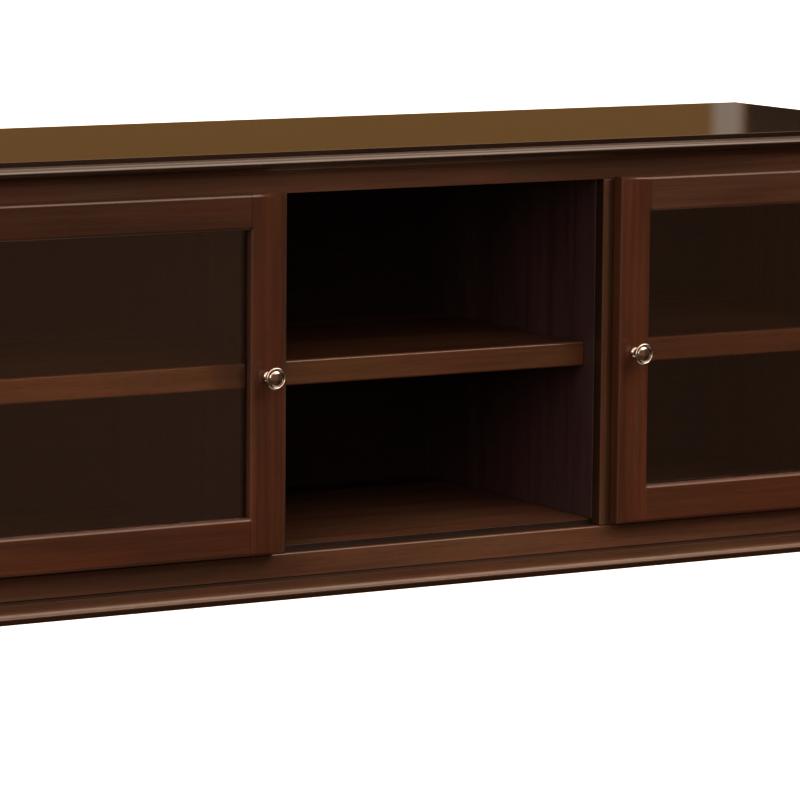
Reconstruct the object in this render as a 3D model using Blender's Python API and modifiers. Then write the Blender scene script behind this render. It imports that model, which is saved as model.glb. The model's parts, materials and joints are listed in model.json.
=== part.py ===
"""TV stand with an open centre bay between two glazed doors.

All sizes are in metres. +X runs along the stand, -Y is its front and +Z is up. The origin lies on
the floor, under the middle of the whole object's box.
"""
import math

import bmesh
import bpy
from mathutils import Vector

# Fit between neighbouring pieces
GAP = 0.0003
EASE = 0.0009
PANEL_EASE = 0.0003

# Top and carcass
HEIGHT = 0.592
TOP_LENGTH = 1.600
TOP_DEPTH = 0.508
TOP_THICK = 0.018
OVERHANG = 0.028
CARCASS_DEPTH = 0.472
PANEL = 0.018
BACK_THICK = 0.006
BASE_HEIGHT = 0.025
BASE_WIDTH = 0.018
COVE_HEIGHT = 0.0117
COVE_REACH = 0.018

# Face frame
FRAME_THICK = 0.019
FRAME_TOP_RAIL = 0.0385
BAY_FLOOR = 0.0642
RAIL_TOP = 0.0578
RAIL_ROUND = 0.003
END_STILE = 0.033
MULLION = 0.033
BAY_HALF = 0.2465

# Shelves
SHELF_THICK = 0.0335
SHELF_TOP = 0.3078
SHELF_SETBACK = 0.044
SHELF_DEPTH = 0.404
SHELF_ROUND = 0.003
CLEAT = 0.012
CLEAT_HEIGHT = 0.015
CLEAT_SETBACK = 0.150
CLEAT_LENGTH = 0.280

# Doors
DOOR_GAP = 0.003
DOOR_THICK = 0.019
DOOR_INNER = 0.2626
DOOR_OUTER = 0.755
DOOR_BOTTOM = 0.0605
DOOR_TOP = 0.539
DOOR_STILE = 0.0485
DOOR_TOP_RAIL = 0.0485
DOOR_BOTTOM_RAIL = 0.0515
DOOR_ROUND = 0.0055
RABBET = 0.008
RABBET_DEPTH = 0.0067
GLASS_THICK = 0.004
GLASS_PLAY = 0.0005
BEAD_THICK = 0.0018

# Knobs and their screws
KNOB_REACH = 0.027
KNOB_HEIGHT = 0.298
KNOB_RADIUS = 0.015
KNOB_HOLE_RADIUS = 0.0022
KNOB_HOLE_DEPTH = 0.011
SCREW_RADIUS = 0.0018
SCREW_HEAD_RADIUS = 0.004
SCREW_HEAD_THICK = 0.0022
SCREW_BITE = 0.010
TURNED_STEPS = 24

# Hinges
HINGE_HEIGHT = 0.050
HINGE_INSET = 0.070
LEAF_WIDTH = 0.014
LEAF_THICK = 0.001
BARREL_RADIUS = 0.0032
BARREL_CLEAR = 0.0006
PIN_RADIUS = 0.0013
PIN_BORE = 0.0017
BARREL_SIDES = 20

# Magnetic catches
CATCH_SIZE = (0.0115, 0.020, 0.040)
CATCH_HEIGHT = 0.492
STRIKE_SIZE = (0.015, 0.0012, 0.030)

# Planes worked out from the sizes above
FACE = (DOOR_GAP + DOOR_THICK + KNOB_REACH - (TOP_DEPTH - OVERHANG)) / 2
TOP_BACK = FACE + TOP_DEPTH - OVERHANG
BACK = FACE + CARCASS_DEPTH
HALF = TOP_LENGTH / 2 - OVERHANG
TOP_UNDERSIDE = HEIGHT - TOP_THICK
CARCASS_TOP = TOP_UNDERSIDE - GAP
BASE_TOP = BASE_HEIGHT + GAP
SIDE_INNER = HALF - PANEL
FRAME_BACK = FACE + FRAME_THICK
PANEL_FRONT = FRAME_BACK + GAP
PANEL_BACK = BACK - BACK_THICK - GAP
STILE_INNER = HALF - END_STILE
RAIL_HALF = STILE_INNER - GAP
OPENING_TOP = TOP_UNDERSIDE - FRAME_TOP_RAIL
DOOR_BACK = FACE - DOOR_GAP
DOOR_FRONT = DOOR_BACK - DOOR_THICK
KNOB_X = DOOR_INNER + DOOR_STILE / 2
AXIS_X = DOOR_OUTER + BARREL_CLEAR + BARREL_RADIUS
AXIS_Y = FACE - BARREL_CLEAR - BARREL_RADIUS
SHELF_FRONT = FACE + SHELF_SETBACK
SHELF_UNDERSIDE = SHELF_TOP - SHELF_THICK

for leftover in list(bpy.data.objects):
    bpy.data.objects.remove(leftover)
parts = bpy.data.collections.new("tv_stand_with_doors")
cutters = bpy.data.collections.new("tv_stand_cutters")
bpy.context.scene.collection.children.link(parts)
bpy.context.scene.collection.children.link(cutters)


def make_material(name, colour, roughness, metallic=0.0, alpha=1.0):
    material = bpy.data.materials.new(name)
    material.use_nodes = True
    shader = material.node_tree.nodes["Principled BSDF"]
    shader.inputs["Base Color"].default_value = (*colour, 1.0)
    shader.inputs["Roughness"].default_value = roughness
    shader.inputs["Metallic"].default_value = metallic
    shader.inputs["Alpha"].default_value = alpha
    return material


EXTERIOR = make_material("exterior_wood", (0.050, 0.018, 0.011), 0.25)
DOOR_WOOD = make_material("door_wood", (0.058, 0.020, 0.012), 0.28)
INTERIOR = make_material("interior_wood", (0.022, 0.010, 0.008), 0.45)
BACKBOARD = make_material("back_board", (0.016, 0.009, 0.007), 0.70)
GLASS = make_material("smoked_glass", (0.030, 0.022, 0.018), 0.05, alpha=0.35)
BEAD = make_material("glazing_bead", (0.020, 0.010, 0.008), 0.50)
CHROME = make_material("polished_nickel", (0.780, 0.740, 0.700), 0.10, metallic=1.0)
STEEL = make_material("hinge_steel", (0.300, 0.270, 0.230), 0.35, metallic=1.0)
PLASTIC = make_material("catch_plastic", (0.045, 0.028, 0.020), 0.50)


def shade(mesh):
    """Shade smooth, with sharp edges kept sharp."""
    mesh.shade_smooth()
    mesh.set_sharp_from_angle(angle=math.radians(35))


def add_part(name, solid, material, origin=(0.0, 0.0, 0.0), parent=None):
    """Make an object from a bmesh in world coordinates, with its origin at the given point."""
    origin = Vector(origin)
    bmesh.ops.translate(solid, verts=solid.verts, vec=-origin)
    bmesh.ops.recalc_face_normals(solid, faces=solid.faces)
    mesh = bpy.data.meshes.new(name)
    solid.to_mesh(mesh)
    solid.free()
    shade(mesh)
    mesh.materials.append(material)
    part = bpy.data.objects.new(name, mesh)
    parts.objects.link(part)
    part.location = origin
    if parent is not None:
        part.parent = parent
        part.location = origin - parent.location
    return part


def box(low, high):
    """A rectangular solid between two corners."""
    low = Vector(low)
    high = Vector(high)
    solid = bmesh.new()
    bmesh.ops.create_cube(solid, size=1.0)
    bmesh.ops.scale(solid, verts=solid.verts, vec=high - low)
    bmesh.ops.translate(solid, verts=solid.verts, vec=(low + high) / 2)
    return solid


def ease_edges(part, width):
    bevel = part.modifiers.new("eased_edges", "BEVEL")
    bevel.width = width
    bevel.segments = 2
    bevel.limit_method = "ANGLE"


def board(name, low, high, material, parent=None, ease=EASE):
    """A rectangular board with all its edges eased."""
    centre = (Vector(low) + Vector(high)) / 2
    part = add_part(name, box(low, high), material, centre, parent)
    ease_edges(part, ease)
    return part


def arc(centre, radii, start, end, steps):
    """Points along part of an ellipse, angles in degrees from the first axis."""
    points = []
    for step in range(steps + 1):
        angle = math.radians(start + (end - start) * step / steps)
        along = centre[0] + radii[0] * math.cos(angle)
        up = centre[1] + radii[1] * math.sin(angle)
        points.append((along, up))
    return points


def run(outline, start_of, end_of):
    """Loft one outline of (out, up) points straight from one end to the other."""
    solid = bmesh.new()
    first = [solid.verts.new(start_of(out, up)) for out, up in outline]
    cap = solid.faces.new(first)
    grown = bmesh.ops.extrude_face_region(solid, geom=[cap])
    far_verts = [item for item in grown["geom"] if isinstance(item, bmesh.types.BMVert)]
    start_points = [Vector(start_of(out, up)) for out, up in outline]
    for vert in far_verts:
        nearest = min(range(len(outline)), key=lambda i: (start_points[i] - vert.co).length)
        vert.co = end_of(*outline[nearest])
    return solid


def cylinder(centre, radius, depth, sides, axis="Z"):
    """A closed cylinder about its centre, along Y or Z."""
    solid = bmesh.new()
    bmesh.ops.create_cone(solid, cap_ends=True, segments=sides, radius1=radius, radius2=radius, depth=depth)
    if axis == "Y":
        for vert in solid.verts:
            vert.co = Vector((vert.co.x, -vert.co.z, vert.co.y))
    bmesh.ops.translate(solid, verts=solid.verts, vec=Vector(centre))
    return solid


def combined(base, others, operation):
    """Boolean union or difference of bmesh solids, as one new bmesh."""
    holders = []
    for solid in [base] + others:
        bmesh.ops.recalc_face_normals(solid, faces=solid.faces)
        mesh = bpy.data.meshes.new("boolean_operand")
        solid.to_mesh(mesh)
        solid.free()
        holder = bpy.data.objects.new("boolean_operand", mesh)
        cutters.objects.link(holder)
        holders.append(holder)
    for holder in holders[1:]:
        modifier = holders[0].modifiers.new("combine", "BOOLEAN")
        modifier.operation = operation
        modifier.solver = "EXACT"
        modifier.object = holder
    graph = bpy.context.evaluated_depsgraph_get()
    result_mesh = bpy.data.meshes.new_from_object(holders[0].evaluated_get(graph))
    result = bmesh.new()
    result.from_mesh(result_mesh)
    for holder in holders:
        bpy.data.objects.remove(holder)
    return result


def mirrored(solid, side):
    """The solid itself for the right-hand side, its mirror image for the left."""
    copy = solid.copy()
    if side < 0:
        bmesh.ops.scale(copy, verts=copy.verts, vec=(-1.0, 1.0, 1.0))
        bmesh.ops.reverse_faces(copy, faces=copy.faces)
    return copy


# ---------------------------------------------------------------- top and its mouldings

def make_top():
    """A slab whose front and end edges carry a quirked ovolo."""
    ovolo = arc((0.019, 0.0025), (0.009, 0.008), 0, 90, 6)
    fillet = [(0.0175, 0.0105), (0.0175, 0.0176), (0.0171, TOP_THICK)]
    levels = [(0.0250, 0.0), (0.0273, 0.0007)] + ovolo + fillet
    solid = bmesh.new()
    bmesh.ops.create_grid(solid, x_segments=1, y_segments=1, size=0.5)
    face = solid.faces[:][0]
    for index, (out, up) in enumerate(levels):
        if index > 0:
            below = face
            grown = bmesh.ops.extrude_face_region(solid, geom=[face])
            face = [item for item in grown["geom"] if isinstance(item, bmesh.types.BMFace)][0]
            if index > 1:
                bmesh.ops.delete(solid, geom=[below], context="FACES_ONLY")
        middle = face.calc_center_median()
        for vert in face.verts:
            side = 1 if vert.co.x > middle.x else -1
            behind = vert.co.y > middle.y
            vert.co = (side * (HALF + out), TOP_BACK if behind else FACE - out, TOP_UNDERSIDE + up)
    add_part("top_panel", solid, EXTERIOR, (0.0, 0.0, HEIGHT))


def make_three_sided_moulding(prefix, outline, bottom):
    """Front and end runs of one moulding, mitred at the two front corners."""
    def corner(side):
        return lambda out, up: (side * (HALF + out - GAP), FACE - out, bottom + up)

    add_part(prefix + "_front", run(outline, corner(-1), corner(1)), EXTERIOR, (0.0, FACE, bottom))
    for side, word in ((-1, "_left"), (1, "_right")):
        solid = run(
            outline,
            lambda out, up, s=side: (s * (HALF + out), FACE - out + GAP, bottom + up),
            lambda out, up, s=side: (s * (HALF + out), BACK, bottom + up),
        )
        add_part(prefix + word, solid, EXTERIOR, (side * HALF, 0.0, bottom))


def make_mouldings():
    cove = arc((0.017, 0.0010), (0.014, 0.0090), 180, 90, 6)
    cove_outline = [(GAP, 0.0), (0.003, 0.0)] + cove
    cove_outline += [(COVE_REACH, 0.0100), (COVE_REACH, COVE_HEIGHT), (GAP, COVE_HEIGHT)]
    make_three_sided_moulding("top_cove", cove_outline, TOP_UNDERSIDE - GAP - COVE_HEIGHT)

    lip = arc((0.0264, 0.0048), (0.0014, 0.0014), -12, 55, 4)
    hollow = arc((0.03214, 0.01299), (0.0086, 0.0086), 235, 180, 8)
    base_outline = [(-BASE_WIDTH, 0.0), (0.0268, 0.0)] + lip + hollow[1:]
    base_outline += [(0.02354, 0.0248), (0.02334, BASE_HEIGHT), (-BASE_WIDTH, BASE_HEIGHT)]
    make_three_sided_moulding("base_moulding", base_outline, 0.0)
    inner = HALF - BASE_WIDTH - GAP
    board("base_rail_back", (-inner, BACK - BASE_WIDTH, 0.0), (inner, BACK, BASE_HEIGHT), INTERIOR)


# ---------------------------------------------------------------- carcass and face frame

def make_carcass():
    for side, word in ((-1, "left"), (1, "right")):
        across = sorted((side * SIDE_INNER, side * HALF))
        low = (across[0], PANEL_FRONT, BASE_TOP)
        board("side_panel_" + word, low, (across[1], BACK, CARCASS_TOP), EXTERIOR)
        across = sorted((side * BAY_HALF, side * (BAY_HALF + PANEL)))
        low = (across[0], PANEL_FRONT, BAY_FLOOR + GAP)
        board("partition_" + word, low, (across[1], PANEL_BACK, CARCASS_TOP), INTERIOR)
    inner = SIDE_INNER - GAP
    low = (-inner, PANEL_FRONT, BAY_FLOOR - PANEL)
    board("bottom_panel", low, (inner, PANEL_BACK, BAY_FLOOR), INTERIOR, ease=PANEL_EASE)
    low = (-inner, BACK - BACK_THICK, BASE_TOP)
    board("back_panel", low, (inner, BACK, CARCASS_TOP), BACKBOARD)


def make_bottom_rail():
    """The frame's bottom rail, a little lower than the bay floor, with its front top edge rounded."""
    low = Vector((-RAIL_HALF, FACE, BASE_TOP))
    high = Vector((RAIL_HALF, FRAME_BACK, RAIL_TOP))
    solid = box(low, high)
    corner = [
        edge for edge in solid.edges
        if all(abs(vert.co.y - FACE) < GAP and abs(vert.co.z - RAIL_TOP) < GAP for vert in edge.verts)
    ]
    bmesh.ops.bevel(solid, geom=corner, offset=RAIL_ROUND, segments=4, profile=0.5, affect="EDGES")
    rail = add_part("frame_bottom_rail", solid, EXTERIOR, (low + high) / 2)
    ease_edges(rail, EASE)


def make_face_frame():
    make_bottom_rail()
    low = (-RAIL_HALF, FACE, OPENING_TOP)
    board("frame_top_rail", low, (RAIL_HALF, FRAME_BACK, CARCASS_TOP), EXTERIOR)
    for side, word in ((-1, "left"), (1, "right")):
        across = sorted((side * STILE_INNER, side * HALF))
        low = (across[0], FACE, BASE_TOP)
        board("frame_end_stile_" + word, low, (across[1], FRAME_BACK, CARCASS_TOP), EXTERIOR)
        across = sorted((side * BAY_HALF, side * (BAY_HALF + MULLION)))
        low = (across[0], FACE, RAIL_TOP + GAP)
        board("frame_mullion_" + word, low, (across[1], FRAME_BACK, OPENING_TOP - GAP), EXTERIOR)


def make_shelf(name, left, right):
    """A thick shelf with its two front edges rounded, resting on a cleat at each end."""
    centre = ((left + right) / 2, SHELF_FRONT + SHELF_DEPTH / 2, SHELF_TOP - SHELF_THICK / 2)
    low = (left + GAP, SHELF_FRONT, SHELF_UNDERSIDE)
    solid = box(low, (right - GAP, SHELF_FRONT + SHELF_DEPTH, SHELF_TOP))
    nose = [
        edge for edge in solid.edges
        if all(abs(vert.co.y - SHELF_FRONT) < GAP for vert in edge.verts)
        and abs(edge.verts[0].co.x - edge.verts[1].co.x) > GAP
    ]
    bmesh.ops.bevel(solid, geom=nose, offset=SHELF_ROUND, segments=4, profile=0.5, affect="EDGES")
    add_part("shelf_" + name, solid, INTERIOR, centre)
    for word, inner, outer in (("left", left, left + CLEAT), ("right", right - CLEAT, right)):
        shift = GAP if word == "left" else -GAP
        front = FACE + CLEAT_SETBACK
        low = (inner + shift, front, SHELF_UNDERSIDE - GAP - CLEAT_HEIGHT)
        high = (outer + shift, front + CLEAT_LENGTH, SHELF_UNDERSIDE - GAP)
        board("cleat_" + name + "_" + word, low, high, INTERIOR)


def make_shelves():
    wall = BAY_HALF + PANEL
    make_shelf("left", -SIDE_INNER, -wall)
    make_shelf("center", -BAY_HALF, BAY_HALF)
    make_shelf("right", wall, SIDE_INNER)


# ---------------------------------------------------------------- doors

def set_rectangle(face, rectangle):
    """Move a four-cornered face's corners to (low x, high x, low z, high z)."""
    middle = face.calc_center_median()
    for vert in face.verts:
        vert.co.x = rectangle[1] if vert.co.x > middle.x else rectangle[0]
        vert.co.z = rectangle[3] if vert.co.z > middle.z else rectangle[2]


def inset_to(solid, face, rectangle):
    bmesh.ops.inset_individual(solid, faces=[face], thickness=GAP)
    set_rectangle(face, rectangle)


def ring(outer, opening, front, back, rabbet=None, rabbet_depth=0.0):
    """A rectangular frame in one piece, with an optional rabbet round the back of its opening."""
    solid = box((outer[0], front, outer[2]), (outer[1], back, outer[3]))
    solid.faces.ensure_lookup_table()
    front_face = min(solid.faces, key=lambda face: face.calc_center_median().y)
    back_face = max(solid.faces, key=lambda face: face.calc_center_median().y)
    inset_to(solid, front_face, opening)
    if rabbet is None:
        inset_to(solid, back_face, opening)
    else:
        inset_to(solid, back_face, rabbet)
        grown = bmesh.ops.extrude_discrete_faces(solid, faces=[back_face])
        back_face = grown["faces"][0]
        bmesh.ops.translate(solid, verts=back_face.verts, vec=(0.0, -rabbet_depth, 0.0))
        inset_to(solid, back_face, opening)
    rims = list(front_face.edges) + list(back_face.edges)
    bmesh.ops.delete(solid, geom=[front_face, back_face], context="FACES_ONLY")
    bmesh.ops.bridge_loops(solid, edges=rims)
    return solid


def shrunk(rectangle, margin):
    return (rectangle[0] + margin, rectangle[1] - margin, rectangle[2] + margin, rectangle[3] - margin)


def kept_part(solid, planes):
    """The part of a solid behind every (point, normal) plane, closed again where it was cut."""
    piece = solid.copy()
    for point, normal in planes:
        geometry = piece.verts[:] + piece.edges[:] + piece.faces[:]
        bmesh.ops.bisect_plane(
            piece, geom=geometry, dist=1e-7, plane_co=point, plane_no=normal, clear_outer=True
        )
        rim = [edge for edge in piece.edges if edge.is_boundary]
        if rim:
            bmesh.ops.holes_fill(piece, edges=rim, sides=0)
    return piece


def door_frame():
    """The right-hand door's frame before it is divided into stiles and rails."""
    outer = (DOOR_INNER, DOOR_OUTER, DOOR_BOTTOM, DOOR_TOP)
    opening = (
        DOOR_INNER + DOOR_STILE,
        DOOR_OUTER - DOOR_STILE,
        DOOR_BOTTOM + DOOR_BOTTOM_RAIL,
        DOOR_TOP - DOOR_TOP_RAIL,
    )
    rabbet = shrunk(opening, -RABBET)
    solid = ring(outer, opening, DOOR_FRONT, DOOR_BACK, rabbet, RABBET_DEPTH)
    bmesh.ops.recalc_face_normals(solid, faces=solid.faces)
    front_edges = [
        edge for edge in solid.edges
        if all(abs(vert.co.y - DOOR_FRONT) < GAP for vert in edge.verts)
        and edge.calc_face_angle() > 1.0
    ]
    bmesh.ops.bevel(
        solid, geom=front_edges, offset=DOOR_ROUND, segments=4, profile=0.5, affect="EDGES"
    )
    return solid, opening, rabbet


def make_door(side, word, axis):
    """One door: four frame members, glass, glazing bead, knob, screw and strike plate."""
    solid, opening, rabbet = door_frame()
    half_gap = GAP / 2
    left_cut = opening[0]
    right_cut = opening[1]
    middle = (opening[2] + opening[3]) / 2
    rail_cuts = [
        ((left_cut + half_gap, 0.0, 0.0), (-1.0, 0.0, 0.0)),
        ((right_cut - half_gap, 0.0, 0.0), (1.0, 0.0, 0.0)),
    ]
    members = {
        "knob_stile": [((left_cut - half_gap, 0.0, 0.0), (1.0, 0.0, 0.0))],
        "hinge_stile": [((right_cut + half_gap, 0.0, 0.0), (-1.0, 0.0, 0.0))],
        "top_rail": rail_cuts + [((0.0, 0.0, middle), (0.0, 0.0, -1.0))],
        "bottom_rail": rail_cuts + [((0.0, 0.0, middle), (0.0, 0.0, 1.0))],
    }
    origin = (side * AXIS_X, AXIS_Y, middle)
    made = {}
    for member, planes in members.items():
        piece = mirrored(kept_part(solid, planes), side)
        made[member] = add_part("door_" + member + "_" + word, piece, DOOR_WOOD, origin, axis)

    shoulder = DOOR_BACK - RABBET_DEPTH
    pane = shrunk(rabbet, GLASS_PLAY)
    glass_front = shoulder + GAP
    glass_back = glass_front + GLASS_THICK
    low = (pane[0], glass_front, pane[2])
    glass = mirrored(box(low, (pane[1], glass_back, pane[3])), side)
    add_part("door_glass_" + word, glass, GLASS, origin, axis)
    bead_front = glass_back + GAP
    bead = ring(shrunk(rabbet, GAP), shrunk(opening, -GAP), bead_front, bead_front + BEAD_THICK)
    add_part("glazing_bead_" + word, mirrored(bead, side), BEAD, origin, axis)

    knob_point = Vector((side * KNOB_X, DOOR_FRONT, KNOB_HEIGHT))
    make_knob("knob_" + word, knob_point, axis)
    make_knob_screw("knob_screw_" + word, knob_point, axis)
    drill_knob_hole(made["knob_stile"], word, knob_point)

    strike_x = KNOB_X + 0.001
    strike_low = (strike_x - STRIKE_SIZE[0] / 2, DOOR_BACK + GAP, CATCH_HEIGHT - STRIKE_SIZE[2] / 2)
    strike_high = [low + size for low, size in zip(strike_low, STRIKE_SIZE)]
    strike = mirrored(box(strike_low, strike_high), side)
    add_part("catch_strike_" + word, strike, STEEL, origin, axis)


def make_knob(name, point, axis):
    """A turned mushroom knob on a flared neck, hollow behind for its screw."""
    head = arc((0.0, 0.0200), (KNOB_RADIUS, KNOB_REACH - 0.0200), 90, 0, 7)
    rim = arc((0.0132, 0.0188), (0.0018, 0.0020), 0, -90, 3)
    neck = arc((0.0170, 0.0060), (0.0115, 0.0095), 110, 180, 5)
    foot = [(0.0062, 0.0035), (0.0074, 0.0026), (0.0078, 0.0016), (0.0078, GAP)]
    hole = [(KNOB_HOLE_RADIUS, GAP), (KNOB_HOLE_RADIUS, KNOB_HOLE_DEPTH), (0.0, KNOB_HOLE_DEPTH)]
    outline = head + rim[1:] + neck + foot + hole
    profile = bmesh.new()
    verts = [profile.verts.new((radius, 0.0, height)) for radius, height in outline]
    for first, second in zip(verts, verts[1:]):
        profile.edges.new((first, second))
    mesh = bpy.data.meshes.new(name)
    profile.to_mesh(mesh)
    profile.free()
    mesh.materials.append(CHROME)
    knob = bpy.data.objects.new(name, mesh)
    parts.objects.link(knob)
    knob.parent = axis
    knob.location = point - axis.location
    knob.rotation_euler = (math.radians(90), 0.0, 0.0)
    screw = knob.modifiers.new("turned", "SCREW")
    screw.steps = TURNED_STEPS
    screw.render_steps = TURNED_STEPS
    screw.use_merge_vertices = True
    screw.merge_threshold = 0.00005
    screw.use_smooth_shade = True


def make_knob_screw(name, point, axis):
    """A pan-head machine screw from the back of the door into the knob."""
    back = DOOR_BACK + GAP
    head_centre = (point.x, back + SCREW_HEAD_THICK / 2, point.z)
    head = cylinder(head_centre, SCREW_HEAD_RADIUS, SCREW_HEAD_THICK, 16, "Y")
    tip = DOOR_FRONT - SCREW_BITE
    shank_back = back + SCREW_HEAD_THICK / 2
    shank_centre = (point.x, (tip + shank_back) / 2, point.z)
    shank = cylinder(shank_centre, SCREW_RADIUS, shank_back - tip, 12, "Y")
    add_part(name, combined(head, [shank], "UNION"), STEEL, head_centre, axis)


def drill_knob_hole(stile, word, point):
    """Clearance hole through the knob stile for the knob's screw."""
    centre = (point.x, (DOOR_FRONT + DOOR_BACK) / 2, point.z)
    drill = add_part("knob_drill_" + word, cylinder(centre, KNOB_HOLE_RADIUS, 0.030, 12, "Y"), STEEL)
    parts.objects.unlink(drill)
    cutters.objects.link(drill)
    drill.hide_render = True
    drill.display_type = "WIRE"
    hole = stile.modifiers.new("knob_hole", "BOOLEAN")
    hole.operation = "DIFFERENCE"
    hole.solver = "EXACT"
    hole.object = drill


# ---------------------------------------------------------------- hinges and catches

def frame_leaf():
    """Leaf on the face frame, with the outer two knuckles and the pin pressed into them."""
    third = HINGE_HEIGHT / 3
    edge = DOOR_OUTER + GAP
    plate_back = FACE - GAP
    low = (edge - LEAF_WIDTH, plate_back - LEAF_THICK, -HINGE_HEIGHT / 2)
    solid = box(low, (edge, plate_back, HINGE_HEIGHT / 2))
    pieces = [cylinder((AXIS_X, AXIS_Y, 0.0), PIN_RADIUS, HINGE_HEIGHT - 0.002, BARREL_SIDES)]
    for end in (-1, 1):
        height = end * (third + GAP / 2)
        pieces.append(cylinder((AXIS_X, AXIS_Y, height), BARREL_RADIUS, third - GAP, BARREL_SIDES))
        low = (edge - GAP, plate_back - LEAF_THICK, height - third / 2 + GAP / 2)
        pieces.append(box(low, (AXIS_X, plate_back, height + third / 2 - GAP / 2)))
    return combined(solid, pieces, "UNION")


def door_leaf():
    """Leaf on the back of the door, with the middle knuckle bored for the pin."""
    third = HINGE_HEIGHT / 3
    edge = DOOR_OUTER + GAP
    plate_front = DOOR_BACK + GAP
    low = (edge - LEAF_WIDTH, plate_front, -HINGE_HEIGHT / 2)
    solid = box(low, (edge, plate_front + LEAF_THICK, HINGE_HEIGHT / 2))
    knuckle = cylinder((AXIS_X, AXIS_Y, 0.0), BARREL_RADIUS, third - 2 * GAP, BARREL_SIDES)
    low = (edge - GAP, plate_front, -third / 2 + GAP)
    tab = box(low, (AXIS_X, plate_front + LEAF_THICK, third / 2 - GAP))
    joined = combined(solid, [knuckle, tab], "UNION")
    bore = cylinder((AXIS_X, AXIS_Y, 0.0), PIN_BORE, HINGE_HEIGHT, BARREL_SIDES)
    return combined(joined, [bore], "DIFFERENCE")


def make_hinges(side, word, axis):
    heights = {"lower": DOOR_BOTTOM + HINGE_INSET, "upper": DOOR_TOP - HINGE_INSET}
    for kind, leaf, parent in (("frame", frame_leaf(), None), ("door", door_leaf(), axis)):
        for level, height in heights.items():
            solid = mirrored(leaf, side)
            bmesh.ops.translate(solid, verts=solid.verts, vec=(0.0, 0.0, height))
            origin = (side * AXIS_X, AXIS_Y, height)
            add_part("hinge_" + kind + "_leaf_" + word + "_" + level, solid, STEEL, origin, parent)


def make_catch(side, word):
    """Magnetic catch on the side of the mullion, just behind the strike plate."""
    front = DOOR_BACK + GAP + STRIKE_SIZE[1] + GAP
    inner = BAY_HALF + MULLION + GAP
    across = sorted((side * inner, side * (inner + CATCH_SIZE[0])))
    low = (across[0], front, CATCH_HEIGHT - CATCH_SIZE[2] / 2)
    high = (across[1], front + CATCH_SIZE[1], CATCH_HEIGHT + CATCH_SIZE[2] / 2)
    board("magnetic_catch_" + word, low, high, PLASTIC)


make_top()
make_mouldings()
make_carcass()
make_face_frame()
make_shelves()
for door_side, door_word in ((-1, "left"), (1, "right")):
    hinge_axis = bpy.data.objects.new("hinge_axis_" + door_word, None)
    hinge_axis.location = (door_side * AXIS_X, AXIS_Y, 0.0)
    hinge_axis.empty_display_size = 0.05
    parts.objects.link(hinge_axis)
    make_door(door_side, door_word, hinge_axis)
    make_hinges(door_side, door_word, hinge_axis)
    make_catch(door_side, door_word)
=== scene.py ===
"""Finished look of the TV stand with doors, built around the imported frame.

Metres, +Z up, and the stand's front faces -Y.
"""
import json
import math

import bmesh
import bpy
from mathutils import Matrix, Vector


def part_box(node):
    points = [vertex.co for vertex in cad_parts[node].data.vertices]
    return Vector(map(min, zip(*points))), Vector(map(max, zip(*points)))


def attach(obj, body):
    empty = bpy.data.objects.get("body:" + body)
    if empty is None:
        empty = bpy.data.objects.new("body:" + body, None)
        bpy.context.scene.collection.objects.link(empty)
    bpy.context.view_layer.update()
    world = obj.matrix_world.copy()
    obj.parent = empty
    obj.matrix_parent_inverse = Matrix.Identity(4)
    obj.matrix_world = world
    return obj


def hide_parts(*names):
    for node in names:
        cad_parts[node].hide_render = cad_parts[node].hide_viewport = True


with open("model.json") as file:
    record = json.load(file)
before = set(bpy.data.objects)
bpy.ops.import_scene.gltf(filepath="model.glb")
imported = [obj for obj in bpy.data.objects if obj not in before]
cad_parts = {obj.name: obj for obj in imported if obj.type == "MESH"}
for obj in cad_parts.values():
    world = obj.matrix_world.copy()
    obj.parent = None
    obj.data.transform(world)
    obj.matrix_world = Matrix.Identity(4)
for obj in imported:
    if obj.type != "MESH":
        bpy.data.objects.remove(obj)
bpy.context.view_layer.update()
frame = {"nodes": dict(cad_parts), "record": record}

SIDES = ((-1, "left"), (1, "right"))

# Planes read from the frame
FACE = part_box("frame_top_rail")[0].y
DOOR_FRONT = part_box("door_knob_stile_right")[0].y
DOOR_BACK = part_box("door_knob_stile_right")[1].y


# ---------------------------------------------------------------- node helpers

def start_material(name):
    material = bpy.data.materials.new(name)
    material.use_nodes = True
    tree = material.node_tree
    return material, tree, tree.nodes["Principled BSDF"]


def add_node(tree, kind, **settings):
    node = tree.nodes.new(kind)
    for key, value in settings.items():
        setattr(node, key, value)
    return node


def object_coordinates(tree, scale):
    """Object coordinates stretched by a scale for each axis."""
    source = add_node(tree, "ShaderNodeTexCoord")
    mapping = add_node(tree, "ShaderNodeMapping")
    mapping.inputs["Scale"].default_value = scale
    tree.links.new(source.outputs["Object"], mapping.inputs["Vector"])
    return mapping.outputs["Vector"]


def noise(tree, vector, scale=1.0, detail=2.0, roughness=0.5, distortion=0.0):
    node = add_node(tree, "ShaderNodeTexNoise")
    node.inputs["Scale"].default_value = scale
    node.inputs["Detail"].default_value = detail
    node.inputs["Roughness"].default_value = roughness
    node.inputs["Distortion"].default_value = distortion
    tree.links.new(vector, node.inputs["Vector"])
    return node.outputs["Fac"]


def remap(tree, value, low, high, to_low, to_high):
    node = add_node(tree, "ShaderNodeMapRange", clamp=True)
    for name, number in (("From Min", low), ("From Max", high), ("To Min", to_low), ("To Max", to_high)):
        node.inputs[name].default_value = number
    tree.links.new(value, node.inputs["Value"])
    return node.outputs["Result"]


def calculate(tree, operation, first, second):
    node = add_node(tree, "ShaderNodeMath", operation=operation)
    for socket, value in zip(node.inputs, (first, second)):
        if isinstance(value, (int, float)):
            socket.default_value = value
        else:
            tree.links.new(value, socket)
    return node.outputs["Value"]


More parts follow.
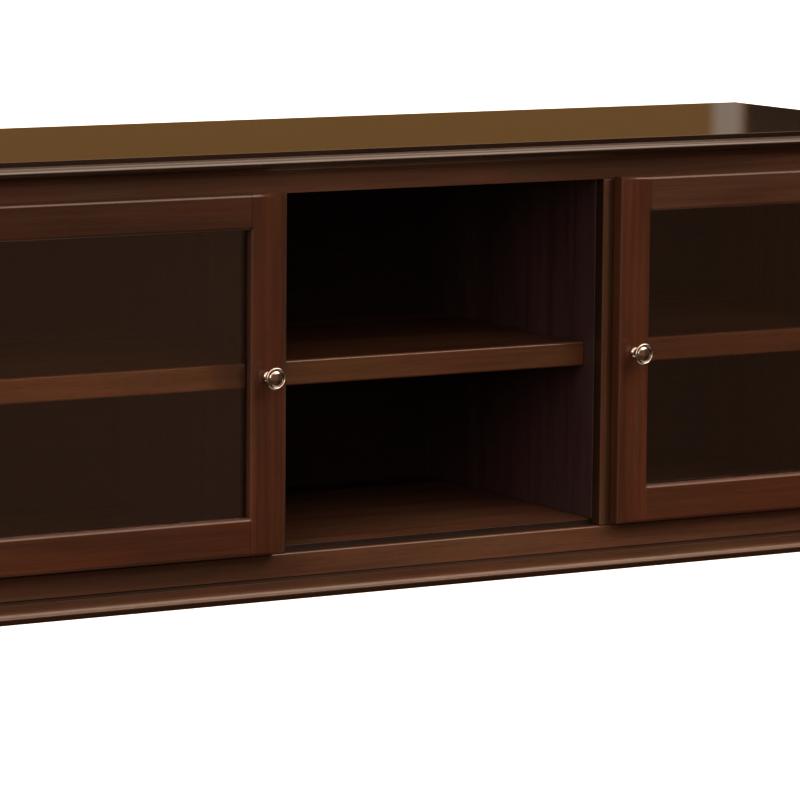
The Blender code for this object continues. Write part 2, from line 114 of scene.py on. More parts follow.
def ramp(tree, value, stops):
    node = add_node(tree, "ShaderNodeValToRGB")
    elements = node.color_ramp.elements
    while len(elements) < len(stops):
        elements.new(0.5)
    for element, (position, colour) in zip(elements, stops):
        element.position = position
        element.color = (*colour, 1.0)
    tree.links.new(value, node.inputs["Fac"])
    return node.outputs["Color"]


def scale_colour(tree, colour, factor):
    """Multiply a colour by a grey value that varies over the surface."""
    node = add_node(tree, "ShaderNodeVectorMath", operation="SCALE")
    tree.links.new(colour, node.inputs[0])
    tree.links.new(factor, node.inputs["Scale"])
    return node.outputs["Vector"]


def bump(tree, height, distance, strength=1.0):
    node = add_node(tree, "ShaderNodeBump")
    node.inputs["Strength"].default_value = strength
    node.inputs["Distance"].default_value = distance
    tree.links.new(height, node.inputs["Height"])
    return node.outputs["Normal"]


# ---------------------------------------------------------------- materials

def stretched(axis, along, across):
    return tuple(along if index == axis else across for index in range(3))


def mirrored_coordinate(tree, axis):
    """Distance from the origin along one axis, the same on both sides of it."""
    source = add_node(tree, "ShaderNodeTexCoord")
    parts = add_node(tree, "ShaderNodeSeparateXYZ")
    tree.links.new(source.outputs["Object"], parts.inputs["Vector"])
    return calculate(tree, "ABSOLUTE", parts.outputs[axis], 0.0)


def wood(name, axis, tones, roughness, coat, coat_roughness, specular=0.25, painted_shade_zones=()):
    """Stained and lacquered wood whose grain runs along one axis: 0 is X, 1 is Y and 2 is Z.

    A painted shade zone darkens the stain where shade falls on the piece. It is an axis, the distance
    along it where the painted shade is deepest, the distance where the wood has its full tone, and
    the share of the tone that is left at the darkest place.
    """
    material, tree, shader = start_material(name)
    figure = noise(tree, object_coordinates(tree, stretched(axis, 1.3, 17.0)), 1.0, 4.0, 0.55, 0.6)
    streaks = noise(tree, object_coordinates(tree, stretched(axis, 5.0, 150.0)), 1.0, 3.0, 0.5)
    pores = noise(tree, object_coordinates(tree, stretched(axis, 38.0, 1300.0)), 1.0, 1.0, 0.5)
    clouds = noise(tree, object_coordinates(tree, (3.0, 3.0, 3.0)), 1.0, 2.0, 0.5)
    patches = noise(tree, object_coordinates(tree, stretched(axis, 5.0, 22.0)), 1.0, 2.0, 0.5, 0.8)
    pore_mask = remap(tree, pores, 0.56, 0.70, 0.0, 1.0)
    broad = calculate(tree, "MULTIPLY", figure, 0.70)
    grain = calculate(tree, "ADD", broad, calculate(tree, "MULTIPLY", streaks, 0.30))
    dark, middle, light = tones
    colour = ramp(tree, grain, ((0.36, dark), (0.50, middle), (0.64, light)))
    hue = ramp(tree, patches, ((0.38, (1.0, 0.88, 0.90)), (0.62, (0.90, 1.0, 0.97))))
    tinted = add_node(tree, "ShaderNodeVectorMath", operation="MULTIPLY")
    tree.links.new(colour, tinted.inputs[0])
    tree.links.new(hue, tinted.inputs[1])
    pore_shade = remap(tree, pore_mask, 0.0, 1.0, 1.0, 0.6)
    shade = calculate(tree, "MULTIPLY", pore_shade, remap(tree, clouds, 0.3, 0.7, 0.90, 1.22))
    # Painted shade: each zone darkens the stain where shade falls on the piece
    for zone_axis, dark_from, full_from, share in painted_shade_zones:
        distance = mirrored_coordinate(tree, zone_axis)
        painted_shade = remap(tree, distance, dark_from, full_from, share, 1.0)
        shade = calculate(tree, "MULTIPLY", shade, painted_shade)
    tree.links.new(scale_colour(tree, tinted.outputs["Vector"], shade), shader.inputs["Base Color"])
    streak_wear = calculate(tree, "MULTIPLY", streaks, 0.12)
    wear = calculate(tree, "ADD", streak_wear, calculate(tree, "MULTIPLY", pore_mask, 0.18))
    tree.links.new(calculate(tree, "ADD", wear, roughness - 0.06), shader.inputs["Roughness"])
    relief = calculate(tree, "SUBTRACT", calculate(tree, "MULTIPLY", streaks, 0.3), pore_mask)
    tree.links.new(bump(tree, relief, 0.00012, 0.6), shader.inputs["Normal"])
    shader.inputs["Specular IOR Level"].default_value = specular
    shader.inputs["Coat Weight"].default_value = coat
    shader.inputs["Coat Roughness"].default_value = coat_roughness
    ripple = noise(tree, object_coordinates(tree, (1.0, 1.0, 1.0)), 90.0, 2.0, 0.4)
    tree.links.new(bump(tree, ripple, 0.00004, 0.5), shader.inputs["Coat Normal"])
    return material


def shaded(tones, factor):
    """The same tones, lighter or darker by a factor."""
    return tuple(tuple(factor * part for part in tone) for tone in tones)


# Stains: the dark, middle and light tone of each wood's grain
CASE_TONES = ((0.036, 0.0160, 0.0082), (0.054, 0.0255, 0.0138), (0.077, 0.0390, 0.0218))
DOOR_TONES = ((0.032, 0.0100, 0.0040), (0.048, 0.0158, 0.0064), (0.069, 0.0238, 0.0102))
TOP_TONES = ((0.005, 0.0020, 0.0009), (0.009, 0.0036, 0.0016), (0.014, 0.0058, 0.0026))
DARK_TONES = ((0.022, 0.0125, 0.0150), (0.034, 0.0200, 0.0240), (0.048, 0.0290, 0.0350))
FLOOR_TONES = ((0.032, 0.0145, 0.0086), (0.052, 0.0247, 0.0142), (0.078, 0.0375, 0.0215))
SHELF_TONES = ((0.047, 0.0185, 0.0078), (0.070, 0.0293, 0.0125), (0.098, 0.0433, 0.0189))
BACK_TONES = ((0.0060, 0.0026, 0.0040), (0.0092, 0.0038, 0.0062), (0.0125, 0.0054, 0.0086))

# Lacquers: roughness, coat and coat roughness
SATIN = (0.42, 0.45, 0.16)
DULL = (0.46, 0.35, 0.22)
BARE = (0.62, 0.0, 0.3)
POLISHED = (0.34, 0.95, 0.03)
POLISHED_SPECULAR = 0.10

# Painted light: the shelves behind the panes get lighter copies of the shelf wood, to make up for the
# light that the panes and door frames hold back, so that they show through the glass.
SIDE_SHELF_PAINTED_LIGHT = {"left": 3.3, "right": 2.5}

# Planes where painted shade starts on the wood, as distances from the frame's origin
MULLION_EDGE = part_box("frame_mullion_right")[0].x
DOOR_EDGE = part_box("door_knob_stile_right")[0].x
SHELF_FRONT = -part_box("shelf_center")[0].y
PANEL_FRONT = -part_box("bottom_panel")[0].y
BASE_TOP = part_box("base_moulding_front")[1].z
# Painted shade on the mullion's side that faces into the bay
mullion_side_painted_shade = (0, MULLION_EDGE + 0.0003, MULLION_EDGE + 0.0010, 0.30)
# Painted shadow of the door on the mullion's face beside it
door_painted_shadow = (0, DOOR_EDGE - 0.0050, DOOR_EDGE - 0.0085, 0.50)
# Painted shade on the shelves further back than their front edges
shelf_painted_shade = (1, SHELF_FRONT - 0.010, SHELF_FRONT - 0.003, 0.45)
# Painted shade on the bottom panel's front edge, behind the bottom rail
panel_edge_painted_shade = (1, PANEL_FRONT - 0.0002, PANEL_FRONT - 0.0008, 0.12)
# Painted shade on the bottom rail's top, behind its front arris
rail_top_painted_shade = (1, -FACE - 0.0045, -FACE - 0.0028, 0.20)
# Painted shade on the base moulding's top ledge under the rail
base_ledge_painted_shade = (2, BASE_TOP - 0.0002, BASE_TOP - 0.0007, 0.22)
# Painted shade on the base moulding's toe, under its lip
base_toe_painted_shade = (2, 0.0060, 0.0074, 0.25)

case_wood = [wood("case_wood_" + "xyz"[axis], axis, CASE_TONES, *SATIN) for axis in range(3)]
# The base, mullion, bottom rail, shelf and floor woods below carry painted shade zones
base_wood = [
    wood("base_wood_" + "xy"[axis], axis, CASE_TONES, *SATIN, painted_shade_zones=(base_ledge_painted_shade, base_toe_painted_shade))
    for axis in range(2)
]
door_wood = {axis: wood("door_wood_" + "xyz"[axis], axis, DOOR_TONES, *SATIN) for axis in (0, 2)}
light_door_rail = wood("door_wood_light_rail", 0, shaded(CASE_TONES, 1.05), *SATIN)
dark_door_rail = wood("door_wood_dark_rail", 0, shaded(DOOR_TONES, 0.58), *SATIN)
door_rail = {
    ("top_rail", "left"): dark_door_rail,
    ("top_rail", "right"): light_door_rail,
    ("bottom_rail", "left"): door_wood[0],
    ("bottom_rail", "right"): door_wood[0],
}
mullion_wood = wood("mullion_wood", 2, CASE_TONES, *SATIN, painted_shade_zones=(mullion_side_painted_shade, door_painted_shadow))
rail_wood = wood("bottom_rail_wood", 0, CASE_TONES, *SATIN, painted_shade_zones=(rail_top_painted_shade,))
top_wood = wood("top_wood", 0, TOP_TONES, *POLISHED, specular=POLISHED_SPECULAR)
dark_wood = [wood("dark_wood_" + "xyz"[axis], axis, DARK_TONES, *DULL) for axis in range(3)]
shelf_wood = wood("shelf_wood", 0, SHELF_TONES, *SATIN, painted_shade_zones=(shelf_painted_shade,))
floor_wood = wood("floor_wood", 0, FLOOR_TONES, *SATIN, painted_shade_zones=(panel_edge_painted_shade,))
# Painted light: lighter copies of the shelf wood for the shelves behind the panes
side_shelf_lit_wood = {}
for shelf_side, lift in SIDE_SHELF_PAINTED_LIGHT.items():
    side_tones = shaded(SHELF_TONES, lift)
    side_shelf_lit_wood[shelf_side] = wood(
        "side_shelf_lit_wood_" + shelf_side, 0, side_tones, *SATIN, painted_shade_zones=(shelf_painted_shade,)
    )
back_wood = wood("back_wood", 0, BACK_TONES, *BARE)


def make_glass():
    """A clear pane with a slight smoke tint: it reflects by angle and lets the rest through."""
    material, tree, shader = start_material("smoked_glass_pane")
    tree.nodes.remove(shader)
    clear = add_node(tree, "ShaderNodeBsdfTransparent")
    clear.inputs["Color"].default_value = (0.980, 0.975, 0.965, 1.0)
    mirror = add_node(tree, "ShaderNodeBsdfGlossy")
    mirror.inputs["Roughness"].default_value = 0.02
    mirror.inputs["Color"].default_value = (1.0, 1.0, 1.0, 1.0)
    facing = add_node(tree, "ShaderNodeFresnel")
    facing.inputs["IOR"].default_value = 1.5
    waves = noise(tree, object_coordinates(tree, (1.0, 1.0, 1.0)), 6.0, 1.0, 0.4)
    normal = bump(tree, waves, 0.00020, 0.4)
    tree.links.new(normal, mirror.inputs["Normal"])
    mix = add_node(tree, "ShaderNodeMixShader")
    tree.links.new(facing.outputs["Fac"], mix.inputs["Fac"])
    tree.links.new(clear.outputs["BSDF"], mix.inputs[1])
    tree.links.new(mirror.outputs["BSDF"], mix.inputs[2])
    tree.links.new(mix.outputs["Shader"], tree.nodes["Material Output"].inputs["Surface"])
    return material


def metal(name, colour, roughness, scratch_scale, scratch_depth):
    """Plated metal with fine marks in its colour, shine and surface."""
    material, tree, shader = start_material(name)
    shader.inputs["Metallic"].default_value = 1.0
    marks = noise(tree, object_coordinates(tree, (1.0, 1.0, 1.0)), scratch_scale, 3.0, 0.6)
    tones = ((0.30, tuple(0.86 * part for part in colour)), (0.70, colour))
    tree.links.new(ramp(tree, marks, tones), shader.inputs["Base Color"])
    haze = remap(tree, marks, 0.3, 0.7, roughness * 0.8, roughness * 1.3)
    tree.links.new(haze, shader.inputs["Roughness"])
    tree.links.new(bump(tree, marks, scratch_depth, 0.5), shader.inputs["Normal"])
    return material


def plastic(name, colour, roughness):
    """Moulded plastic with a fine grain."""
    material, tree, shader = start_material(name)
    grain = noise(tree, object_coordinates(tree, (1.0, 1.0, 1.0)), 1800.0, 2.0, 0.6)
    tones = ((0.35, tuple(0.85 * part for part in colour)), (0.65, colour))
    tree.links.new(ramp(tree, grain, tones), shader.inputs["Base Color"])
    haze = remap(tree, grain, 0.3, 0.7, roughness - 0.06, roughness + 0.06)
    tree.links.new(haze, shader.inputs["Roughness"])
    tree.links.new(bump(tree, grain, 0.00003, 0.6), shader.inputs["Normal"])
    return material


glass = make_glass()
nickel = metal("polished_nickel_plate", (0.48, 0.46, 0.45), 0.09, 320.0, 0.000008)
steel = metal("hinge_steel_plate", (0.26, 0.215, 0.17), 0.30, 700.0, 0.00002)
catch_plastic = plastic("catch_housing", (0.040, 0.024, 0.017), 0.45)


# ---------------------------------------------------------------- shape helpers

def link_mesh(name, solid, material, angle=35.0):
    """A new object from a bmesh: smooth, but sharp at edges that turn by more than the angle."""
    bmesh.ops.recalc_face_normals(solid, faces=solid.faces)
    mesh = bpy.data.meshes.new(name)
    solid.to_mesh(mesh)
    solid.free()
    mesh.shade_smooth()
    mesh.set_sharp_from_angle(angle=math.radians(angle))
    mesh.materials.append(material)
    piece = bpy.data.objects.new(name, mesh)
    bpy.context.scene.collection.objects.link(piece)
    return piece


def weight_normals(piece):
    modifier = piece.modifiers.new("weighted_normals", "WEIGHTED_NORMAL")
    modifier.keep_sharp = True
    modifier.weight = 80


def soften(piece, width, segments=2, angle=50.0):
    modifier = piece.modifiers.new("softened_edges", "BEVEL")
    modifier.width = width
    modifier.segments = segments
    modifier.limit_method = "ANGLE"
    modifier.angle_limit = math.radians(angle)
    modifier.harden_normals = False


def body_of_node(node):
    for body, members in frame["record"]["behaviour"]["bodies"].items():
        if node in members:
            return body
    return None


def stand_for(piece, node):
    """The piece takes the place of one CAD node, on its body."""
    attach(piece, body_of_node(node))
    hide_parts(node)


def raised(height, levels):
    """A height moved by the straight lines between pairs of (old height, new height)."""
    for (low, new_low), (high, new_high) in zip(levels, levels[1:]):
        if height <= high:
            return new_low + (new_high - new_low) * (height - low) / (high - low)
    return height


def finished(node, material, width=0.0004, segments=2, levels=()):
    """A CAD solid with its faces joined up, its last sharp edges eased and smooth shading.

    Levels, when given, move the profile's heights within the solid's own box.
    """
    solid = bmesh.new()
    solid.from_mesh(frame["nodes"][node].data)
    bmesh.ops.remove_doubles(solid, verts=solid.verts, dist=0.00001)
    if levels:
        for vert in solid.verts:
            vert.co.z = raised(vert.co.z, levels)
    bmesh.ops.dissolve_limit(
        solid, angle_limit=math.radians(0.5), verts=solid.verts, edges=solid.edges
    )
    piece = link_mesh(node + "_finished", solid, material)
    soften(piece, width, segments)
    weight_normals(piece)
    stand_for(piece, node)


# ---------------------------------------------------------------- woodwork

# The base's hollow and lip sit a little higher in the finished moulding than in its blank.
BASE_LEVELS = (
    (0.0, 0.0),
    (0.0045, 0.0068),
    (0.0060, 0.0086),
    (0.0130, 0.0172),
    (0.0248, 0.0248),
    (1.0, 1.0),
)
FINE_EDGE = 0.0002


def make_mouldings():
    for prefix, woods, levels in (("top_cove", case_wood, ()), ("base_moulding", base_wood, BASE_LEVELS)):
        finished(prefix + "_front", woods[0], FINE_EDGE, levels=levels)
        for _, word in SIDES:
            finished(prefix + "_" + word, woods[1], FINE_EDGE, levels=levels)


def make_door_woodwork(word):
    for member in ("knob_stile", "hinge_stile"):
        finished("door_" + member + "_" + word, door_wood[2])
    for member in ("top_rail", "bottom_rail"):
        finished("door_" + member + "_" + word, door_rail[member, word])
    finished("door_glass_" + word, glass, 0.0003, 1)
    finished("glazing_bead_" + word, dark_wood[0], 0.0005)


def make_woodwork():
    finished("top_panel", top_wood)
    make_mouldings()
    finished("frame_top_rail", case_wood[0])
    finished("frame_bottom_rail", rail_wood)
    finished("bottom_panel", floor_wood, 0.0001, 1)
    finished("base_rail_back", dark_wood[0])
    finished("back_panel", back_wood)
    for _, word in SIDES:
        finished("side_panel_" + word, case_wood[2])
        finished("frame_end_stile_" + word, case_wood[2])
        finished("frame_mullion_" + word, mullion_wood)
        finished("partition_" + word, dark_wood[2])
        make_door_woodwork(word)
    for bay in ("left", "center", "right"):
        finished("shelf_" + bay, side_shelf_lit_wood.get(bay, shelf_wood), 0.0010)
        for _, word in SIDES:
            finished("cleat_" + bay + "_" + word, dark_wood[1])


# ---------------------------------------------------------------- metalwork

BARREL_RADIUS = 0.0032
LEAF_THICKNESS = 0.0013

# Screw heads: how far each stands proud, and how deep its recess is
FLUSH_SCREW = (0.00014, 0.00012)
PAN_SCREW = (0.0009, 0.0007)
KNOB_SCREW = (0.0009, 0.0008)

# Screws come in pairs, each this far below or above the middle of what it holds
ROWS = (("low", -1.0), ("high", 1.0))
HINGE_SCREW_SHIFT = 0.0165
CATCH_SCREW_SHIFT = 0.0130
STRIKE_SCREW_SHIFT = 0.0105
HINGE_SCREW_INSET = 0.0055


def arc(centre, radii, start, end, steps):
    """Points along part of an ellipse, angles in degrees."""
    points = []
    for step in range(steps + 1):
        angle = math.radians(start + (end - start) * step / steps)
        points.append((centre[0] + radii[0] * math.cos(angle), centre[1] + radii[1] * math.sin(angle)))
    return points


def set_down(solid, place, direction):
    """Move a solid from the origin to its place, with its Z axis along a direction."""
    turn = Vector(direction).to_track_quat("Z", "Y").to_matrix().to_4x4()
    bmesh.ops.transform(solid, verts=solid.verts, matrix=Matrix.Translation(place) @ turn)


def turned(name, outline, place, direction, material, sides=64):
    """A solid of revolution: (radius, height) points turned about a direction through a place."""
    solid = bmesh.new()
    verts = [solid.verts.new((radius, 0.0, height)) for radius, height in outline]
    edges = [solid.edges.new(pair) for pair in zip(verts, verts[1:])]
    spin = {"cent": (0, 0, 0), "axis": (0, 0, 1), "angle": math.tau, "steps": sides, "use_merge": True}
    bmesh.ops.spin(solid, geom=verts + edges, **spin)
    bmesh.ops.remove_doubles(solid, verts=solid.verts, dist=0.000002)
    set_down(solid, place, direction)
    return link_mesh(name, solid, material, 40.0)


def make_knob(word):
    """Mushroom knob: a flared foot and thin neck under a domed head with a rolled rim."""
    low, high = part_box("knob_" + word)
    place = ((low.x + high.x) / 2, DOOR_FRONT, (low.z + high.z) / 2)
    crown = arc((0.0, 0.0218), (0.0112, 0.0044), 90.0, 14.0, 14)
    groove = [(0.0112, 0.0226), (0.0116, 0.0225)]
    rim = arc((0.0130, 0.0231), (0.0020, 0.0023), 196, -58, 20)
    under = [(0.0128, 0.0205), (0.0080, 0.0172), (0.0056, 0.0148), (0.0047, 0.0120)]
    neck = [(0.0044, 0.0095), (0.0045, 0.0065)]
    flare = arc((0.0068, 0.0056), (0.0023, 0.0030), 170, 250, 6)
    foot = arc((0.0062, 0.0014), (0.0008, 0.0010), 80, -40, 5)
    outline = crown + groove + rim + under + neck + flare + foot + [(0.0062, 0.0004), (0.0, 0.0004)]
    knob = turned("knob_fine_" + word, outline, place, (0, -1, 0), nickel)
    stand_for(knob, "knob_" + word)


def ring_of(solid, radius, height, sides):
    """A circle of vertices at one height, anticlockwise."""
    ring = []
    for step in range(sides):
        turn = math.tau * step / sides
        ring.append(solid.verts.new((radius * math.cos(turn), radius * math.sin(turn), height)))
    return ring


def wall_between(solid, lower, upper):
    """Quads between two rings that have the same number of vertices."""
    for index in range(len(lower)):
        after = (index + 1) % len(lower)
        solid.faces.new((lower[index], lower[after], upper[after], upper[index]))


def ride_in_steel(piece, node):
    """A steel piece that moves with one CAD node."""
    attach(piece, body_of_node(node))


def cross_outline(arm, half_width):
    """The twelve corners of a cross, anticlockwise."""
    corners = []
    for quarter in range(4):
        turn = Matrix.Rotation(math.radians(90.0 * quarter), 2)
        for point in ((arm, -half_width), (arm, half_width), (half_width, half_width)):
            corners.append(turn @ Vector(point))
    return corners


def screw_head(node, label, place, direction, radius, heights):
    """A round screw head with a chamfered rim and a cross recess, facing along a direction.

    It goes with a CAD node. Heights are how far it stands proud and how deep its recess is.
    """
    proud, recess = heights
    solid = bmesh.new()
    outline = (
        (radius, -0.0006),
        (radius, proud * 0.35),
        (radius * 0.93, proud * 0.8),
        (radius * 0.84, proud),
    )
    rings = [ring_of(solid, ring_radius, height, 36) for ring_radius, height in outline]
    solid.faces.new(list(reversed(rings[0])))
    for lower, upper in zip(rings, rings[1:]):
        wall_between(solid, lower, upper)
    corners = cross_outline(radius * 0.58, radius * 0.13)
    brink = [solid.verts.new((corner.x, corner.y, proud)) for corner in corners]
    bed = [solid.verts.new((corner.x * 0.9, corner.y * 0.9, proud - recess)) for corner in corners]
    count = len(corners)
    rim_edges = [solid.edges.new((brink[index], brink[(index + 1) % count])) for index in range(count)]
    top_edges = [edge for edge in solid.edges if all(vert in rings[-1] for vert in edge.verts)]
    bmesh.ops.triangle_fill(solid, edges=rim_edges + top_edges, use_beauty=True)
    wall_between(solid, brink, bed)
    solid.faces.new(bed)
    set_down(solid, place, direction)
    ride_in_steel(link_mesh(node + "_" + label, solid, steel, 30.0), node)


def pin_tip(node, label, place, direction):
    """The domed end of a hinge pin, standing on the end of its barrel."""
    dome = arc((0.0, 0.0), (0.0021, 0.0011), 90.0, 12.0, 8)
    collar = [(0.0022, 0.0), (0.0022, -0.0004), (0.0, -0.0004)]
    ride_in_steel(turned(node + "_" + label, dome + collar, place, direction, steel, 32), node)


def make_hinge(side, word, level):
    """Two leaves with eased edges, their countersunk screws and the tips of the pin."""
    frame_node = "_".join(("hinge_frame_leaf", word, level))
    door_node = "_".join(("hinge_door_leaf", word, level))
    leaves = (
        (frame_node, -1.0, FACE - LEAF_THICKNESS),
        (door_node, 1.0, DOOR_BACK + LEAF_THICKNESS),
    )
    for node, facing, flat in leaves:
        finished(node, steel, 0.00015, 2)
        low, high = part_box(node)
        inner = low.x if side > 0 else high.x
        middle = (low.z + high.z) / 2
        for row, sign in ROWS:
            place = (inner + side * HINGE_SCREW_INSET, flat, middle + sign * HINGE_SCREW_SHIFT)
            screw_head(node, "screw_" + row, place, (0, facing, 0), 0.0030, FLUSH_SCREW)
    low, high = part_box(frame_node)
    barrel = ((high.x if side > 0 else low.x) - side * BARREL_RADIUS, low.y + BARREL_RADIUS)
    for end, height, turn in (("foot", low.z, -1.0), ("head", high.z, 1.0)):
        pin_tip(frame_node, "pin_" + end, (*barrel, height), (0, 0, turn))


def make_catch(side, word):
    """A magnetic catch: moulded housing, two poles and a magnet at its mouth, two screws in its side."""
    node = "magnetic_catch_" + word
    finished(node, catch_plastic, 0.0012, 3)
    low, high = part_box(node)
    middle = (low + high) / 2
    solid = bmesh.new()
    pole, magnet = (0.0012, 0.00012), (0.0026, 0.00002)
    for shift, (thick, proud) in ((-0.0026, pole), (0.0026, pole), (0.0, magnet)):
        part = bmesh.ops.create_cube(solid, size=1.0)["verts"]
        bmesh.ops.scale(solid, verts=part, vec=(thick, 0.004, 0.030))
        bmesh.ops.translate(solid, verts=part, vec=(middle.x + shift, low.y - proud + 0.002, middle.z))
    poles = link_mesh(node + "_poles", solid, steel, 30.0)
    soften(poles, 0.0001, 2)
    ride_in_steel(poles, node)
    outer = high.x if side > 0 else low.x
    for row, sign in ROWS:
        place = (outer, middle.y, middle.z + sign * CATCH_SCREW_SHIFT)
        screw_head(node, "screw_" + row, place, (side, 0, 0), 0.0028, PAN_SCREW)


def make_strike(word):
    """The steel plate on the door that the catch holds, with its two screws."""
    node = "catch_strike_" + word
    finished(node, steel, 0.0003, 3)
    low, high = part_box(node)
    middle = (low + high) / 2
    for row, sign in ROWS:
        place = (middle.x, high.y, middle.z + sign * STRIKE_SCREW_SHIFT)
        screw_head(node, "screw_" + row, place, (0, 1, 0), 0.0026, FLUSH_SCREW)


def make_knob_screw(word):
    """The knob's screw as seen from inside the door: a pan head with a cross recess."""
    node = "knob_screw_" + word
    finished(node, steel, 0.0004, 2)
    low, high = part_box(node)
    place = ((low.x + high.x) / 2, high.y - 0.0002, (low.z + high.z) / 2)
    screw_head(node, "head", place, (0, 1, 0), 0.0036, KNOB_SCREW)


make_woodwork()
for door_side, door_word in SIDES:
    make_knob(door_word)
    make_knob_screw(door_word)
    make_catch(door_side, door_word)
    make_strike(door_word)
    for hinge_level in ("lower", "upper"):
        make_hinge(door_side, door_word, hinge_level)


# ---------------------------------------------------------------- floor, light and camera

def make_floor():
    """A white floor that glows a little, with the stand's soft shadow on it."""
    bpy.ops.mesh.primitive_plane_add(size=60.0)
    floor = bpy.context.object
    floor.name = "studio_floor"
    material, tree, shader = start_material("studio_floor_paint")
    speckle = noise(tree, object_coordinates(tree, (1.0, 1.0, 1.0)), 40.0, 2.0, 0.5)
    paint = ((0.3, (0.86, 0.86, 0.86)), (0.7, (0.88, 0.88, 0.88)))
    tree.links.new(ramp(tree, speckle, paint), shader.inputs["Base Color"])
    shader.inputs["Roughness"].default_value = 0.9
    shader.inputs["Specular IOR Level"].default_value = 0.0
    shader.inputs["Emission Color"].default_value = (1.0, 1.0, 1.0, 1.0)
    shader.inputs["Emission Strength"].default_value = 0.72
    floor.data.materials.append(material)
    floor.visible_glossy = False
    floor.visible_diffuse = False


LIGHT_COLOUR = (1.0, 0.72, 0.54)
LIGHT_TARGET = (0.0, -0.2, 0.3)


def area_light(name, place, size, power):
    """A warm rectangular softbox aimed at the stand."""
    data = bpy.data.lights.new(name, "AREA")
    data.shape = "RECTANGLE"
    data.size, data.size_y = size
    data.energy = power
    data.color = LIGHT_COLOUR
    light = bpy.data.objects.new(name, data)
    bpy.context.scene.collection.objects.link(light)
    light.location = place
    light.rotation_euler = (Vector(LIGHT_TARGET) - Vector(place)).to_track_quat("-Z", "Y").to_euler()


def make_lights():
    area_light("key_softbox", (1.9, -3.2, 3.0), (2.8, 2.2), 100.0)
    area_light("fill_softbox", (-3.2, -3.4, 1.6), (2.4, 2.0), 60.0)


def add_glow(tree, total, mask, colour):
    """Add a colour to a running total where the mask is 1."""
    glow = add_node(tree, "ShaderNodeVectorMath", operation="SCALE")
    glow.inputs[0].default_value = colour
    tree.links.new(mask, glow.inputs["Scale"])
    joined = add_node(tree, "ShaderNodeVectorMath", operation="ADD")
    tree.links.new(total, joined.inputs[0])
    tree.links.new(glow.outputs["Vector"], joined.inputs[1])
    return joined.outputs["Vector"]


def smooth(tree, value, low, high, to_low=0.0, to_high=1.0):
    node = add_node(tree, "ShaderNodeMapRange", interpolation_type="SMOOTHSTEP")
    for name, number in (("From Min", low), ("From Max", high), ("To Min", to_low), ("To Max", to_high)):
        node.inputs[name].default_value = number
    tree.links.new(value, node.inputs["Value"])
    return node.outputs["Result"]


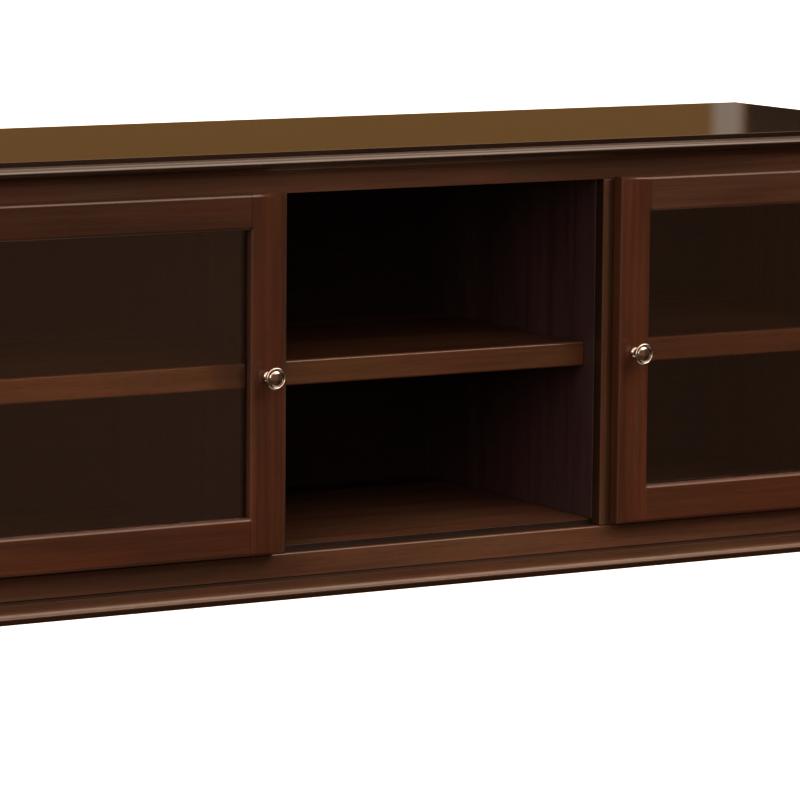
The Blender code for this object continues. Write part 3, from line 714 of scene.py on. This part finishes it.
def make_world():
    """White to the camera; to everything else a dim tan room under a wide soft warm ceiling light."""
    world = bpy.data.worlds.new("studio")
    bpy.context.scene.world = world
    world.use_nodes = True
    tree = world.node_tree
    tree.nodes.clear()
    coords = add_node(tree, "ShaderNodeTexCoord")
    parts = add_node(tree, "ShaderNodeSeparateXYZ")
    tree.links.new(coords.outputs["Generated"], parts.inputs["Vector"])
    across, away, height = (parts.outputs[name] for name in "XYZ")
    bearing = calculate(tree, "ARCTAN2", across, away)

    def bearing_band(start, end):
        """1 between two bearings, in degrees from +Y towards +X, near the horizon and below it."""
        first = smooth(tree, bearing, math.radians(start - 0.1), math.radians(start + 0.1))
        last = smooth(tree, bearing, math.radians(end - 0.1), math.radians(end + 0.1), 1.0, 0.0)
        between = calculate(tree, "MULTIPLY", first, last)
        return calculate(tree, "MULTIPLY", between, smooth(tree, height, 0.2, 0.4, 1.0, 0.0))

    room = add_node(tree, "ShaderNodeCombineXYZ")
    behind = smooth(tree, away, -0.2, 0.2)
    ahead = calculate(tree, "SUBTRACT", 1.0, behind)
    low = smooth(tree, height, -0.35, -0.1, 0.4, 1.0)
    dark_side = bearing_band(34.56, 75.0)
    back_wall = calculate(tree, "MULTIPLY", behind, calculate(tree, "SUBTRACT", 1.0, dark_side))
    left_of_view = smooth(tree, across, 0.57, 0.46, 0.45, 1.0)
    front_wall = calculate(tree, "MULTIPLY", calculate(tree, "MULTIPLY", ahead, low), left_of_view)
    ceiling = smooth(tree, height, 0.32, 0.72)
    left_wall = smooth(tree, across, -0.80, -0.93)
    ground = smooth(tree, height, -0.80, -0.92)
    total = add_glow(tree, room.outputs["Vector"], back_wall, (0.160, 0.078, 0.020))
    total = add_glow(tree, total, front_wall, (0.240, 0.120, 0.070))
    total = add_glow(tree, total, ceiling, (2.3, 1.64, 1.24))
    total = add_glow(tree, total, left_wall, (0.55, 0.44, 0.37))
    total = add_glow(tree, total, ground, (1.0, 0.80, 0.66))
    total = add_glow(tree, total, bearing_band(34.19, 34.52), (0.13, 0.145, 0.16))
    dim = add_node(tree, "ShaderNodeBackground")
    tree.links.new(total, dim.inputs["Color"])
    white = add_node(tree, "ShaderNodeBackground")
    white.inputs["Color"].default_value = (1.0, 1.0, 1.0, 1.0)
    path = add_node(tree, "ShaderNodeLightPath")
    mix = add_node(tree, "ShaderNodeMixShader")
    tree.links.new(path.outputs["Is Camera Ray"], mix.inputs["Fac"])
    tree.links.new(dim.outputs["Background"], mix.inputs[1])
    tree.links.new(white.outputs["Background"], mix.inputs[2])
    output = add_node(tree, "ShaderNodeOutputWorld")
    tree.links.new(mix.outputs["Shader"], output.inputs["Surface"])


# The camera stands about 6.5 m away, in front of the stand, to its left and above its top.
CAMERA_PLACE = Vector((-3.3204, FACE - 5.5131, 1.1183))
CAMERA_YAW = 30.503
CAMERA_PITCH = 7.715
CAMERA_ROLL = 0.489
CAMERA_LENS = 217.47


def make_camera():
    data = bpy.data.cameras.new("photo_camera")
    data.sensor_width = 36.0
    data.lens = CAMERA_LENS
    data.clip_start = 0.1
    data.clip_end = 100.0
    camera = bpy.data.objects.new("photo_camera", data)
    bpy.context.scene.collection.objects.link(camera)
    turn = Matrix.Rotation(math.radians(-CAMERA_YAW), 4, "Z")
    tilt = Matrix.Rotation(math.radians(90.0 - CAMERA_PITCH), 4, "X")
    roll = Matrix.Rotation(math.radians(CAMERA_ROLL), 4, "Z")
    camera.matrix_world = Matrix.Translation(CAMERA_PLACE) @ turn @ tilt @ roll
    bpy.context.scene.camera = camera


make_floor()
make_lights()
make_world()
make_camera()
bpy.context.scene.view_settings.view_transform = "Standard"
